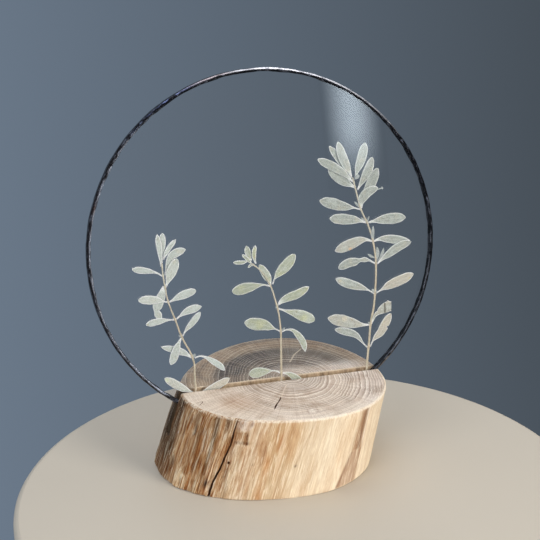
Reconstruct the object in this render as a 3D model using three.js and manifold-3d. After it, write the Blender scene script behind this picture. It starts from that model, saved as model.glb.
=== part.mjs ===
// Pressed flower frame: two round glass panes with three pressed sprigs sealed
// between them, closed by a soldered rim, leaning in the saw slot of a log base.
//
// Millimetres, +Z up. The origin is the centre of the log's underside. +X runs
// along the slot, the front faces -Y, and the disc leans back towards +Y.
//
// Inside the disc's own group, x and y lie in the plane of the glass, with y
// running up the disc, and z points out of its front. Its centre is the origin.

import * as THREE from 'three';
import { mergeVertices } from 'three/addons/utils/BufferGeometryUtils.js';
import Module from 'manifold-3d';

const wasm = await Module();
wasm.setup();

// ---------------------------------------------------------------- dimensions

const LOG_HEIGHT = 45;
const LOG_TOP_RADIUS = 57;
const LOG_BOTTOM_RADIUS = 60;
const LOG_TOP_SHIFT = 12.5;             // how far the leaning log's top sits to the right
const LOG_TOP_CHAMFER = 1.6;
const LOG_BOTTOM_CHAMFER = 0.8;
const LOG_SIDES = 72;
const LOG_LOBES = [                   // how far the trunk is from round
  { count: 2, cos: 1.3, sin: -0.2 },
  { count: 3, cos: -1.5, sin: -1.8 },
];

const DISC_RADIUS = 100;
const DISC_LEAN = THREE.MathUtils.degToRad(10.2);
const DISC_CENTRE = new THREE.Vector3(6.2, 14.1, LOG_HEIGHT + 75);
const DISC_SEGMENTS = 72;

const PANE_THICKNESS = 1.5;
const SPECIMEN_GAP = 1.1;             // between the two panes
const PANE_RADIUS = 99.1;

const RIM_LIP = 2.1;                  // how far the solder reaches over the glass
const RIM_WALL = 0.3;                 // the lip's thickness
const RIM_CHAMFER = 0.6;
const FIT = 0.1;                      // clearance between glass and rim
const GROOVE_RADIUS = PANE_RADIUS + 0.2;

const PANES_DEPTH = 2 * PANE_THICKNESS + SPECIMEN_GAP;
const RIM_DEPTH = PANES_DEPTH + 2 * FIT + 2 * RIM_WALL;

const SLOT_WIDTH = 6.5;
const SLOT_BACK_PLAY = 0.3;           // the disc leans against the slot's back wall
const SLOT_FLOOR_PLAY = 0.3;

const CRACK_ANGLE = THREE.MathUtils.degToRad(-134);
const CRACK_WIDTH = 1.3;
const CRACK_DEPTH = 14;

const STEM_THICKNESS = 0.4;
const LEAF_THICKNESS = 0.2;
const LEAF_LAYER = 0.4;               // how far a leaf lies before or behind its stem
const PETIOLE_WIDTH = 0.9;
const LEAF_STEPS = 10;
const STEM_STEPS = 12;

// ------------------------------------------------------------------ materials

function finish(color, roughness, metalness = 0) {
  return new THREE.MeshStandardMaterial({ color, roughness, metalness });
}

function glass() {
  const material = finish(0xe4eeea, 0.03);
  material.transparent = true;
  material.opacity = 0.18;
  return material;
}

// --------------------------------------------------------------------- solids

function named(name, geometry, material) {
  const mesh = new THREE.Mesh(geometry, material);
  mesh.name = name;
  return mesh;
}

// A closed mesh as a solid that can be cut. Triangles that shrank to a line,
// as at a lathe's poles, are left out.
function solid(geometry) {
  const bare = geometry.clone();
  bare.deleteAttribute('normal');
  bare.deleteAttribute('uv');
  const merged = mergeVertices(bare);
  const corners = merged.index.array;
  const kept = [];
  for (let i = 0; i < corners.length; i += 3) {
    const [a, b, c] = corners.slice(i, i + 3);
    if (a !== b && b !== c && c !== a) {
      kept.push(a, b, c);
    }
  }
  return new wasm.Manifold(new wasm.Mesh({
    numProp: 3,
    vertProperties: new Float32Array(merged.attributes.position.array),
    triVerts: new Uint32Array(kept),
  }));
}

function geometryOf(manifold) {
  const mesh = manifold.getMesh();
  const geometry = new THREE.BufferGeometry();
  geometry.setAttribute('position', new THREE.BufferAttribute(mesh.vertProperties, 3));
  geometry.setIndex(new THREE.BufferAttribute(mesh.triVerts, 1));
  geometry.computeVertexNormals();
  return geometry;
}

// ------------------------------------------------------------------- log base

function lobeAt(angle) {
  let bulge = 0;
  for (const { count, cos, sin } of LOG_LOBES) {
    bulge += cos * Math.cos(count * angle) + sin * Math.sin(count * angle);
  }
  return bulge;
}

function logRadius(z) {
  return THREE.MathUtils.lerp(LOG_BOTTOM_RADIUS, LOG_TOP_RADIUS, z / LOG_HEIGHT);
}

// A leaning, slightly flared piece of trunk, sawn flat at both ends.
function trunk() {
  const profile = [
    [0, 0],
    [LOG_BOTTOM_RADIUS - LOG_BOTTOM_CHAMFER, 0],
    [logRadius(LOG_BOTTOM_CHAMFER), LOG_BOTTOM_CHAMFER],
    [logRadius(LOG_HEIGHT - LOG_TOP_CHAMFER), LOG_HEIGHT - LOG_TOP_CHAMFER],
    [LOG_TOP_RADIUS - LOG_TOP_CHAMFER, LOG_HEIGHT],
    [0, LOG_HEIGHT],
  ].map(([radius, z]) => new THREE.Vector2(radius, z));
  const geometry = new THREE.LatheGeometry(profile, LOG_SIDES);
  geometry.rotateX(Math.PI / 2);
  const position = geometry.attributes.position;
  for (let i = 0; i < position.count; i += 1) {
    const x = position.getX(i);
    const y = position.getY(i);
    const z = position.getZ(i);
    const radius = Math.hypot(x, y);
    const swell = radius > 0 ? 1 + lobeAt(Math.atan2(y, x)) / logRadius(z) : 1;
    const lean = LOG_TOP_SHIFT * z / LOG_HEIGHT;
    position.setXYZ(i, x * swell + lean, y * swell, z);
  }
  return solid(geometry);
}

// The slot runs right through the log along X, parallel to the leaning disc.
function slotCutter() {
  const back = -RIM_DEPTH / 2 - SLOT_BACK_PLAY;
  const floor = -DISC_RADIUS - SLOT_FLOOR_PLAY;
  const length = 4 * LOG_BOTTOM_RADIUS;
  const height = 60;
  const cutter = new THREE.BoxGeometry(length, height, SLOT_WIDTH);
  cutter.translate(0, floor + height / 2, back + SLOT_WIDTH / 2);
  cutter.applyMatrix4(discPlacement());
  return solid(cutter);
}

// The drying crack down the left front of the log: a wedge that follows its lean.
function crackCutter() {
  const reach = LOG_BOTTOM_RADIUS + 5;
  const outline = new THREE.Shape([
    new THREE.Vector2(reach - CRACK_DEPTH - 5, 0),
    new THREE.Vector2(reach, -CRACK_WIDTH / 2),
    new THREE.Vector2(reach, CRACK_WIDTH / 2),
  ]);
  const overrun = 5;
  const cutter = new THREE.ExtrudeGeometry(outline, {
    depth: LOG_HEIGHT + 2 * overrun,
    bevelEnabled: false,
  });
  cutter.translate(0, 0, -overrun);
  cutter.rotateZ(CRACK_ANGLE);
  const lean = new THREE.Matrix4().makeShear(0, 0, 0, 0, LOG_TOP_SHIFT / LOG_HEIGHT, 0);
  cutter.applyMatrix4(lean);
  return solid(cutter);
}

function logBase() {
  const body = trunk().subtract(slotCutter()).subtract(crackCutter());
  return named('log_base', geometryOf(body), finish(0xd3b48c, 0.75));
}

// ------------------------------------------------------------- glass and rim

function discPlacement() {
  const lean = new THREE.Matrix4().makeRotationX(Math.PI / 2 - DISC_LEAN);
  return lean.setPosition(DISC_CENTRE);
}

function pane(name, side) {
  const geometry = new THREE.CylinderGeometry(PANE_RADIUS, PANE_RADIUS, PANE_THICKNESS, DISC_SEGMENTS);
  geometry.rotateX(Math.PI / 2);
  const mesh = named(name, geometry, glass());
  mesh.position.z = side * (SPECIMEN_GAP + PANE_THICKNESS) / 2;
  return mesh;
}

// A U-section ring: a web round the glass edge and a lip over each face.
function solderRim() {
  const half = RIM_DEPTH / 2;
  const inner = half - RIM_WALL;
  const lip = DISC_RADIUS - RIM_LIP;
  const profile = [
    [DISC_RADIUS, half - RIM_CHAMFER],
    [DISC_RADIUS - RIM_CHAMFER, half],
    [lip, half],
    [lip, inner],
    [GROOVE_RADIUS, inner],
    [GROOVE_RADIUS, -inner],
    [lip, -inner],
    [lip, -half],
    [DISC_RADIUS - RIM_CHAMFER, -half],
    [DISC_RADIUS, -half + RIM_CHAMFER],
    [DISC_RADIUS, half - RIM_CHAMFER],
  ].map(([radius, z]) => new THREE.Vector2(radius, z));
  const geometry = new THREE.LatheGeometry(profile, DISC_SEGMENTS);
  geometry.rotateX(Math.PI / 2);
  return named('solder_rim', geometry, finish(0x2c2a2d, 0.35, 0.8));
}

// -------------------------------------------------------------- pressed plants

// Where a strip's outline has its points, from 0 at its base to 1 at its tip.
// A leaf's stand closer together towards its round tip.
const STEM_STATIONS = Array.from({ length: STEM_STEPS + 1 }, (_, i) => i / STEM_STEPS);
const LEAF_STATIONS = Array.from(
  { length: LEAF_STEPS + 1 },
  (_, i) => Math.sin(Math.PI / 2 * i / LEAF_STEPS),
);

// A flat strip along a curve in the disc's plane, wide as halfWidth(t) says.
// Where that is nothing, the strip ends in one point.
function strip(points, stations, halfWidth, thickness, depth) {
  const curve = new THREE.SplineCurve(points.map(([x, y]) => new THREE.Vector2(x, y)));
  const left = [];
  const right = [];
  for (const t of stations) {
    const centre = curve.getPointAt(t);
    const along = curve.getTangentAt(t);
    const half = halfWidth(t);
    if (half === 0) {
      left.push(centre);
    } else {
      left.push(new THREE.Vector2(centre.x - along.y * half, centre.y + along.x * half));
      right.unshift(new THREE.Vector2(centre.x + along.y * half, centre.y - along.x * half));
    }
  }
  const outline = new THREE.Shape([...left, ...right]);
  const geometry = new THREE.ExtrudeGeometry(outline, { depth: thickness, bevelEnabled: false });
  geometry.translate(0, 0, depth - thickness / 2);
  return geometry;
}

// Half the width of a leaf from its base, t = 0, to its tip, t = 1: a thin
// petiole, then a blade that is widest at `widest` and ends round.
function leafHalfWidth({ width, widest = 0.62, petiole = 0.12, point = 0.5 }) {
  const rise = point * widest / (1 - widest);
  const peak = widest ** rise * (1 - widest) ** point;
  return (t) => {
    const s = Math.min(1, Math.max(0, (t - petiole) / (1 - petiole)));
    const blade = s ** rise * (1 - s) ** point / peak;
    return (width - PETIOLE_WIDTH) / 2 * blade + PETIOLE_WIDTH / 2 * (1 - s);
  };
}

const FRONT = LEAF_LAYER;
const BACK = -LEAF_LAYER;

// Each leaf: its layer, the points of its midrib from base to tip, its width
// and, where it isn't the usual shape, where it is widest and how it ends.
const SPRIGS = [
  {
    name: 'left',
    color: 0xc3cabd,
    stem: {
      base: 1.1,
      tip: 0.7,
      points: [[-44.2, -82], [-44.5, -66], [-44.8, -58.3], [-50.3, -45.7], [-53.4, -35.3],
        [-56.6, -25.3], [-57.8, -17], [-58.6, -9.3], [-58.8, -2.5]],
    },
    leaves: [
      { layer: FRONT, points: [[-45.4, -78.6], [-53, -74], [-61.7, -67.8]], width: 5.4 },
      { layer: FRONT, points: [[-43.4, -79.4], [-34, -76.5], [-24.7, -72.3]], width: 5.2 },
      { layer: BACK, points: [[-45.4, -58], [-49, -55.2], [-52.5, -53.4], [-56.4, -51.9],
        [-62.4, -49.9]],
        width: 4.6, widest: 0.5, point: 0.6 },
      { layer: FRONT, points: [[-43.8, -58.3], [-40.5, -57.6], [-37.1, -58.9], [-33.6, -61.4],
        [-30, -64.2], [-27.2, -67.4]],
        width: 4.2, widest: 0.68, petiole: 0.25 },
      { layer: FRONT, points: [[-50.8, -46], [-53, -49.9], [-54.4, -53.4], [-55.9, -57],
        [-57.7, -60.6]],
        width: 5.4 },
      { layer: FRONT, points: [[-49.8, -45], [-47.6, -41.6], [-43.4, -37.4], [-39, -32.3]],
        width: 4.4, petiole: 0.2 },
      { layer: FRONT, points: [[-52.8, -34.9], [-46.6, -31.1], [-38, -29.3]], width: 5.2, point: 0.8 },
      { layer: FRONT, points: [[-54, -35.2], [-61, -34.9], [-70, -36.2]], width: 4.6, petiole: 0.25 },
      { layer: BACK, points: [[-58.8, -15.7], [-60, -20.5], [-62, -25], [-63.4, -29],
        [-61.4, -34.6]],
        width: 5.8, widest: 0.5, point: 0.35 },
      { layer: FRONT, points: [[-57.2, -24.9], [-60, -23.9], [-63, -23.1], [-67.1, -22.5],
        [-73.3, -22]],
        width: 5.7, petiole: 0.15 },
      { layer: FRONT, points: [[-56, -24.9], [-49, -22], [-40.7, -19.8]], width: 5.4 },
      { layer: FRONT, points: [[-59, -10], [-62, -7.9], [-65.7, -6.6], [-69.3, -5.8],
        [-75.6, -4.2]],
        width: 4.5, widest: 0.66, petiole: 0.25 },
      { layer: FRONT, points: [[-57.5, -16.4], [-55, -10.5], [-50.2, -1]], width: 6.4 },
      { layer: BACK, points: [[-57.4, -9.8], [-55.6, -4.5], [-53.2, 0.4], [-49.6, 2.3],
        [-44.9, 3.6]],
        width: 5.4, widest: 0.68 },
      { layer: FRONT, points: [[-57.8, -0.8], [-55, 4.4], [-50.2, 9.8]], width: 3.5 },
      { layer: FRONT, points: [[-59.2, -4.6], [-59.6, 4], [-60.4, 13.6]], width: 3.4 },
      { layer: BACK, points: [[-58.7, -2.6], [-58.4, 5], [-57.2, 13.8]], width: 4.6 },
    ],
  },
  {
    name: 'middle',
    color: 0xb9c4a9,
    stem: {
      base: 1.25,
      tip: 0.7,
      points: [[5.4, -82], [5.8, -73.3], [6.3, -61], [6.7, -49.2], [6.2, -39.5], [5.3, -34.3],
        [2.3, -22.3], [-2.6, -13.4], [-6.6, -9.4], [-8.6, -7.7]],
    },
    leaves: [
      { layer: FRONT, points: [[5.1, -73], [3, -71.6], [0.6, -71], [-5, -71], [-13.2, -71.4]],
        width: 6.6, widest: 0.68, petiole: 0.3 },
      { layer: FRONT, points: [[6.6, -73.3], [9.5, -73.8], [12.5, -75.7], [18.6, -81]], width: 4.6 },
      { layer: FRONT, points: [[6.2, -48.7], [3.2, -46.8], [0.3, -45.5], [-3.7, -43.7],
        [-8.3, -42.7], [-14.2, -41]],
        width: 7.7, petiole: 0.18 },
      { layer: FRONT, points: [[7.2, -49], [10.5, -48.2], [13.3, -48.7], [15.6, -50.7], [18, -54],
        [19.8, -57.7], [20.4, -62.2]],
        width: 4.4, petiole: 0.25 },
      { layer: FRONT, points: [[5.9, -33.4], [9, -30.8], [13, -29.4], [17.7, -28.2], [24.5, -24.8]],
        width: 5.7, widest: 0.55, petiole: 0.08 },
      { layer: FRONT, points: [[5.9, -35.5], [12.3, -38], [16.3, -39.5], [20.3, -41.4],
        [26.9, -44.6]],
        width: 7, widest: 0.72 },
      { layer: FRONT, points: [[1.8, -22], [-1, -21], [-3.7, -20.8], [-7, -21], [-11.7, -21.6],
        [-20.3, -23]],
        width: 6.9, widest: 0.64, petiole: 0.25 },
      { layer: FRONT, points: [[3.3, -21.2], [5.2, -17.4], [8, -14.4], [11.7, -11.2], [17.2, -5.3]],
        width: 7, widest: 0.58, petiole: 0.2 },
      { layer: BACK, points: [[2.2, -21.6], [0.6, -16.6], [-3.6, -9.3]], width: 5.2, widest: 0.5 },
      { layer: BACK, points: [[-9.9, -6.4], [-13.2, -7], [-18.5, -6.6]], width: 2.9 },
      { layer: FRONT, points: [[-8, -8.6], [-10.2, -5.6], [-13.3, -2.4]], width: 2.6 },
      { layer: BACK, points: [[-8, -6.4], [-9.6, -2.6], [-10.4, 2]], width: 4 },
      { layer: FRONT, points: [[-5.7, -8.4], [-6.6, -3.4], [-5.4, 2.1]], width: 3.2 },
      { layer: BACK, points: [[-7.2, -9.3], [-8.3, -9], [-10.4, -10.4]], width: 2 },
    ],
  },
  {
    name: 'right',
    color: 0xc6c9bd,
    stem: {
      base: 1.35,
      tip: 0.8,
      points: [[56.6, -79.6], [57.2, -73.2], [58.7, -64.7], [60.3, -51.1], [62.2, -43.6],
        [63.8, -33], [65.1, -15.8], [63.8, -2.5], [60.8, 8.6], [57.4, 16.4], [55.8, 21.7],
        [55, 27], [53.2, 35.2]],
    },
    leaves: [
      { layer: FRONT, points: [[57.9, -64.2], [55.1, -61], [52.6, -57.6], [50, -55.2],
        [46.5, -53.8], [38.7, -51.2]],
        width: 5, widest: 0.66, petiole: 0.2 },
      { layer: FRONT, points: [[59.6, -64], [61.4, -60.6], [63.6, -58.2], [66.2, -56], [69.4, -51],
        [73, -45.6]],
        width: 5.9, widest: 0.58, petiole: 0.2 },
      { layer: BACK, points: [[59.6, -51], [53.6, -50.2], [46, -47.8], [35.1, -44.3]], width: 7.6 },
      { layer: FRONT, points: [[61, -50.4], [63.4, -45.6], [66.2, -43.2], [70.4, -41.6],
        [73.6, -41.4]],
        width: 6.6, widest: 0.8, point: 0.15 },
      { layer: FRONT, points: [[63.2, -32.9], [60.6, -31], [58, -29.6], [54.4, -28], [50.4, -26.5],
        [45.6, -24.4], [40.5, -21.8]],
        width: 5.9, petiole: 0.2 },
      { layer: FRONT, points: [[64.6, -32.7], [68.4, -30.8], [72.1, -29.1], [76.2, -27.7],
        [80.9, -26.3], [87.5, -23.6]],
        width: 6.5, widest: 0.58, petiole: 0.15 },
      { layer: FRONT, points: [[64.5, -15.4], [62, -13.7], [58.6, -12.6], [55, -12.7],
        [51.5, -13.2], [48, -13.7], [42.4, -16.1]],
        width: 6, widest: 0.72 },
      { layer: FRONT, points: [[65.9, -15.7], [69.5, -12.9], [74, -10], [80.2, -6.6], [86.8, -4.8]],
        width: 5.8 },
      { layer: FRONT, points: [[63.2, -2.3], [58, -0.9], [51, -2.6], [40.9, -5.9]], width: 6.8 },
      { layer: BACK, points: [[64.4, -2.5], [68, -1.6], [72, -1.8], [77, -2.8], [86.7, -5.1]],
        width: 5.6, widest: 0.58 },
      { layer: FRONT, points: [[60.2, 8.6], [54.4, 10.6], [38.4, 13.1]], width: 6.8 },
      { layer: FRONT, points: [[61.4, 8.6], [70, 9.5], [83.9, 9.7]], width: 7 },
      { layer: FRONT, points: [[56.7, 16.6], [54, 17.6], [51.3, 18.2], [47.4, 19.1], [43.6, 20.3],
        [39.1, 21.9], [33.1, 23.8]],
        width: 7, widest: 0.64, petiole: 0.15 },
      { layer: FRONT, points: [[57.8, 17.2], [57.6, 20.6], [59.6, 24.2], [63.4, 26.8], [68, 28]],
        width: 6, widest: 0.5 },
      { layer: BACK, points: [[56.8, 19.4], [62.4, 27.6], [68.5, 39]], width: 6.6 },
      { layer: FRONT, points: [[55.8, 27.9], [59.2, 33.2], [62.1, 37.8], [63.9, 42], [65.2, 45.6]],
        width: 5.8 },
      { layer: BACK, points: [[54.8, 34], [56.4, 39.4], [58.3, 43.4], [60.2, 49], [61.6, 54.1]],
        width: 6.2 },
      { layer: FRONT, points: [[52.6, 35.6], [50.3, 41], [48.7, 44.4], [47.1, 48.9], [45.2, 56]],
        width: 5.8, widest: 0.55 },
      { layer: BACK, points: [[52.6, 35], [47.8, 43], [40.4, 53.9]], width: 4.6 },
      { layer: FRONT, points: [[53.4, 32.6], [46, 39.4], [33.1, 47.2]], width: 5.8 },
      { layer: BACK, points: [[54.2, 29.4], [47, 34.4], [39.2, 41.2]], width: 6.8, widest: 0.55 },
    ],
  },
];

function stemMesh(sprig) {
  const { points, base, tip } = sprig.stem;
  const halfWidth = (t) => THREE.MathUtils.lerp(base, tip, t) / 2;
  const geometry = strip(points, STEM_STATIONS, halfWidth, STEM_THICKNESS, 0);
  return named(`stem_${sprig.name}`, geometry, finish(0xcdbf9d, 0.8));
}

function leafMesh(sprig, leaf, index) {
  const halfWidth = leafHalfWidth(leaf);
  const geometry = strip(leaf.points, LEAF_STATIONS, halfWidth, LEAF_THICKNESS, leaf.layer);
  const number = String(index + 1).padStart(2, '0');
  return named(`leaf_${sprig.name}_${number}`, geometry, finish(sprig.color, 0.85));
}

// ------------------------------------------------------------------- assembly

const disc = new THREE.Group();
disc.position.copy(DISC_CENTRE);
disc.rotation.x = Math.PI / 2 - DISC_LEAN;
disc.add(pane('front_pane', 1), pane('back_pane', -1), solderRim());
for (const sprig of SPRIGS) {
  disc.add(stemMesh(sprig));
  sprig.leaves.forEach((leaf, index) => disc.add(leafMesh(sprig, leaf, index)));
}

const flowerFrame = new THREE.Group();
flowerFrame.add(logBase(), disc);

export default flowerFrame;
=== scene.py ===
"""Looks of the pressed flower frame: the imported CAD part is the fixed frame, and the wood,
the solder and the pressed plants are modelled in detail around it. Lengths are millimetres
in the row frame until a mesh is made. In the disc's own plane, u runs along the slot to the
right, v up the disc and w out of its front."""

import math

import bmesh
import bpy
import numpy as np
from mathutils import Euler, Matrix, Vector


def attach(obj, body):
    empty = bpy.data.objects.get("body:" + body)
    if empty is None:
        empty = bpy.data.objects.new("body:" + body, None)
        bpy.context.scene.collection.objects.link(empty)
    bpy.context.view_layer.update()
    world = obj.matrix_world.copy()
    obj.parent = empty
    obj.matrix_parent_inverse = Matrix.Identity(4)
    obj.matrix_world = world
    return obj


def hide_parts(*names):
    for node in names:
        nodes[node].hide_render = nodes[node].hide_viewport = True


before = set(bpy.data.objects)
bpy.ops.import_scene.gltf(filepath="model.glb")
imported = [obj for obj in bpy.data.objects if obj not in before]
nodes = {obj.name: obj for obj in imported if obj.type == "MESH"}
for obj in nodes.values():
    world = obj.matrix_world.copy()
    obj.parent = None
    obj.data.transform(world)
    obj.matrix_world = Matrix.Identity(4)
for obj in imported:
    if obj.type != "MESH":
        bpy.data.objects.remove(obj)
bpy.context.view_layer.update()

MM = 0.001

# ------------------------------------------------------------------ dimensions

LOG_HEIGHT = 45.0
LOG_TOP_RADIUS = 57.0
LOG_BOTTOM_RADIUS = 60.0
LOG_LEAN = 12.5 / LOG_HEIGHT
LOG_LOBES = [(2, 1.3, -0.2), (3, -1.5, -1.8)]  # waves round the trunk, cosine, sine

PITH = np.array([5.0, -1.0])  # where the growth rings have their centre, lean taken out
RING_SQUASH = 0.86  # the rings reach further to the front and back than to the sides
CRACK_FOOT = 225.1  # degrees round the log, counted from its right by way of the back

DISC_RADIUS = 100.0
DISC_LEAN = math.radians(10.2)
DISC_CENTRE = np.array([6.2, 14.1, LOG_HEIGHT + 75.0])
DISC_UP = np.array([0.0, math.sin(DISC_LEAN), math.cos(DISC_LEAN)])
DISC_OUT = np.array([0.0, -math.cos(DISC_LEAN), math.sin(DISC_LEAN)])
RIM_DEPTH = 4.9
SLOT_WIDTH = 6.5
SLOT_BACK = -RIM_DEPTH / 2 - 0.3
SLOT_FLOOR = -DISC_RADIUS - 0.3
GAP_ROOM = 0.53  # how far a plant may reach from the middle of the gap between the panes

# --------------------------------------------------------------------- helpers


def srgb(red, green, blue):
    """A colour given in 0 to 255 as it looks on a screen, as the shaders take it."""
    values = np.array([red, green, blue]) / 255
    linear = np.where(values <= 0.04045, values / 12.92, ((values + 0.055) / 1.055) ** 2.4)
    return tuple(float(x) for x in linear)


def smooth(low, high, x):
    """0 below low and 1 above high, with a soft step between."""
    t = np.clip((x - low) / (high - low), 0, 1)
    return t * t * (3 - 2 * t)


def bump_at(x, centre, width):
    return np.exp(-(((x - centre) / width) ** 2))


def noise(x, y, seed, wrap=None):
    """Smooth noise from -1 to 1 on a unit grid. x repeats after `wrap` cells."""
    rng = np.random.default_rng(seed)
    table = rng.uniform(-1, 1, (256, 256))
    x, y = np.broadcast_arrays(np.asarray(x, float), np.asarray(y, float))
    x0, y0 = np.floor(x).astype(int), np.floor(y).astype(int)
    fx, fy = x - x0, y - y0
    fx, fy = fx * fx * (3 - 2 * fx), fy * fy * (3 - 2 * fy)
    x1 = x0 + 1
    if wrap:
        x0, x1 = x0 % wrap, x1 % wrap
    x0, x1, y1, y0 = x0 % 256, x1 % 256, (y0 + 1) % 256, y0 % 256
    low = table[x0, y0] * (1 - fx) + table[x1, y0] * fx
    high = table[x0, y1] * (1 - fx) + table[x1, y1] * fx
    return low * (1 - fy) + high * fy


def curve_at(values, position, end):
    """Catmull-Rom through a row of values; `end` is the value after the last one."""
    values = np.asarray(values, float)
    row = np.concatenate([[2 * values[0] - values[1]], values, [end]])
    i = np.clip(np.floor(position).astype(int), 0, len(values) - 2)
    t = position - i
    if values.ndim == 2:
        t = t[:, None]
    a, b, c, d = row[i], row[i + 1], row[i + 2], row[i + 3]
    return b + 0.5 * t * (c - a + t * (2 * a - 5 * b + 4 * c - d + t * (3 * (b - c) + d - a)))


def on_disc(u, v, w):
    """Points of the disc's own plane as row frame points."""
    u, v, w = (np.asarray(a, float).reshape(-1, 1) for a in (u, v, w))
    return DISC_CENTRE + u * np.array([1.0, 0, 0]) + v * DISC_UP + w * DISC_OUT


def mesh_object(name, points, faces, *materials, smooth_faces=True):
    mesh = bpy.data.meshes.new(name)
    mesh.from_pydata((np.asarray(points) * MM).tolist(), [], faces)
    for material in materials:
        mesh.materials.append(material)
    if smooth_faces:
        mesh.shade_smooth()
    obj = bpy.data.objects.new(name, mesh)
    bpy.context.scene.collection.objects.link(obj)
    return obj


def set_colors(obj, name, colors):
    attribute = obj.data.color_attributes.new(name, "FLOAT_COLOR", "POINT")
    rgba = np.ones((len(colors), 4), np.float32)
    rgba[:, :3] = colors
    attribute.data.foreach_set("color", rgba.ravel())


def set_floats(obj, name, values):
    attribute = obj.data.attributes.new(name, "FLOAT", "POINT")
    attribute.data.foreach_set("value", np.asarray(values, np.float32))


def points_of(obj):
    co = np.zeros(len(obj.data.vertices) * 3, np.float32)
    obj.data.vertices.foreach_get("co", co)
    return co.reshape(-1, 3).astype(float) / MM


def plain(color, count):
    """The same colour, given from 0 to 255, for so many points."""
    return np.tile(srgb(*color), (count, 1))


def coat(tint, *coats):
    """Lays colours over a tint in turn. A coat is a colour from 0 to 255 and its share on each
    point."""
    for color, share in coats:
        tint = tint + (np.array(srgb(*color)) - tint) * np.clip(share, 0, 1)[:, None]
    return tint


def full_degrees(angle):
    return (np.degrees(angle) + 360) % 360


def seed_of(name):
    return sum(ord(c) for c in name)


def grid_faces(rows, columns, close_rows=False, close_columns=False, start=0):
    """Quads between neighbouring points of a grid, rows first."""
    faces = []
    for i in range(rows if close_rows else rows - 1):
        for j in range(columns if close_columns else columns - 1):
            a, b = i * columns, (i + 1) % rows * columns
            k = (j + 1) % columns
            faces.append((start + a + j, start + a + k, start + b + k, start + b + j))
    return faces


# ------------------------------------------------------------------- materials


class Nodes:
    """A tree of shader nodes and short calls that add to it. Colours go from 0 to 255."""

    def __init__(self, tree):
        self.tree = tree

    def node(self, kind, **settings):
        made = self.tree.nodes.new(kind)
        for key, value in settings.items():
            setattr(made, key, value)
        return made

    def plug(self, value, socket):
        if isinstance(value, bpy.types.NodeSocket):
            self.tree.links.new(value, socket)
        elif isinstance(value, tuple) and socket.type == "RGBA":
            socket.default_value = (*srgb(*value), 1)
        else:
            socket.default_value = value

    def plug_all(self, made, **values):
        for name, value in values.items():
            self.plug(value, made.inputs[name])

    def fed(self, kind, values, out=0, **settings):
        """An output of a new node that takes these values."""
        made = self.node(kind, **settings)
        for value, socket in zip(values, made.inputs):
            self.plug(value, socket)
        return made.outputs[out]

    def math(self, operation, *values):
        return self.fed("ShaderNodeMath", values, operation=operation)

    def plus(self, a, b):
        return self.math("ADD", a, b)

    def times(self, a, b):
        return self.math("MULTIPLY", a, b)

    def vector(self, operation, *values, out=0):
        return self.fed("ShaderNodeVectorMath", values, out, operation=operation)

    def place(self, kind="Object"):
        return self.node("ShaderNodeTexCoord").outputs[kind]

    def split(self, vector):
        made = self.node("ShaderNodeSeparateXYZ")
        self.plug(vector, made.inputs[0])
        return made.outputs

    def join(self, x, y, z):
        return self.fed("ShaderNodeCombineXYZ", (x, y, z))

    def noise(self, vector, scale, detail=2.0, roughness=0.5, distortion=0.0):
        made = self.node("ShaderNodeTexNoise")
        self.plug_all(made, Vector=vector, Scale=scale, Detail=detail, Roughness=roughness,
                      Distortion=distortion)
        return made.outputs["Fac"]

    def mix(self, amount, a, b, blend="MIX"):
        made = self.node("ShaderNodeMix", data_type="RGBA", blend_type=blend)
        for value, at in ((amount, 0), (a, 6), (b, 7)):
            self.plug(value, made.inputs[at])
        return made.outputs[2]

    def ramp(self, value, *stops):
        """stops are (place, grey from 0 to 1 or colour)."""
        made = self.node("ShaderNodeValToRGB")
        self.plug(value, made.inputs[0])
        elements = made.color_ramp.elements
        while len(elements) < len(stops):
            elements.new(0.5)
        for element, (place, color) in zip(elements, stops):
            element.position = place
            element.color = (*(srgb(*color) if isinstance(color, tuple) else [color] * 3), 1)
        return made.outputs[0]

    def over(self, color, value, start, end, tone, blend="MIX"):
        """Lays a tone over a colour. start and end are (value, how much of the tone)."""
        return self.mix(self.ramp(value, start, end), color, tone, blend)

    def spread(self, value, low, high, to_low=0.0, to_high=1.0, **settings):
        return self.fed("ShaderNodeMapRange", (value, low, high, to_low, to_high), **settings)

    def attribute(self, name, output="Color"):
        return self.node("ShaderNodeAttribute", attribute_name=name).outputs[output]


class Paint(Nodes):
    """A material and its shader."""

    def __init__(self, name, **sockets):
        self.material = bpy.data.materials.new(name)
        self.material.use_nodes = True
        super().__init__(self.material.node_tree)
        self.shader = self.tree.nodes["Principled BSDF"]
        for socket, value in sockets.items():
            self.drive(socket.replace("_", " "), value)

    def drive(self, socket, value):
        self.plug(value, self.shader.inputs[socket])

    def bump(self, height, distance, strength):
        """distance is how deep the relief is, in metres."""
        made = self.node("ShaderNodeBump")
        self.plug_all(made, Strength=strength, Distance=distance, Height=height)
        self.drive("Normal", made.outputs[0])


def upright(paint, squeeze):
    """Object coordinates with the log's lean taken out and squeezed along the trunk."""
    x, y, z = paint.split(paint.place())
    across = paint.math("SUBTRACT", x, paint.times(z, LOG_LEAN))
    return paint.join(across, y, paint.times(z, squeeze))


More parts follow.
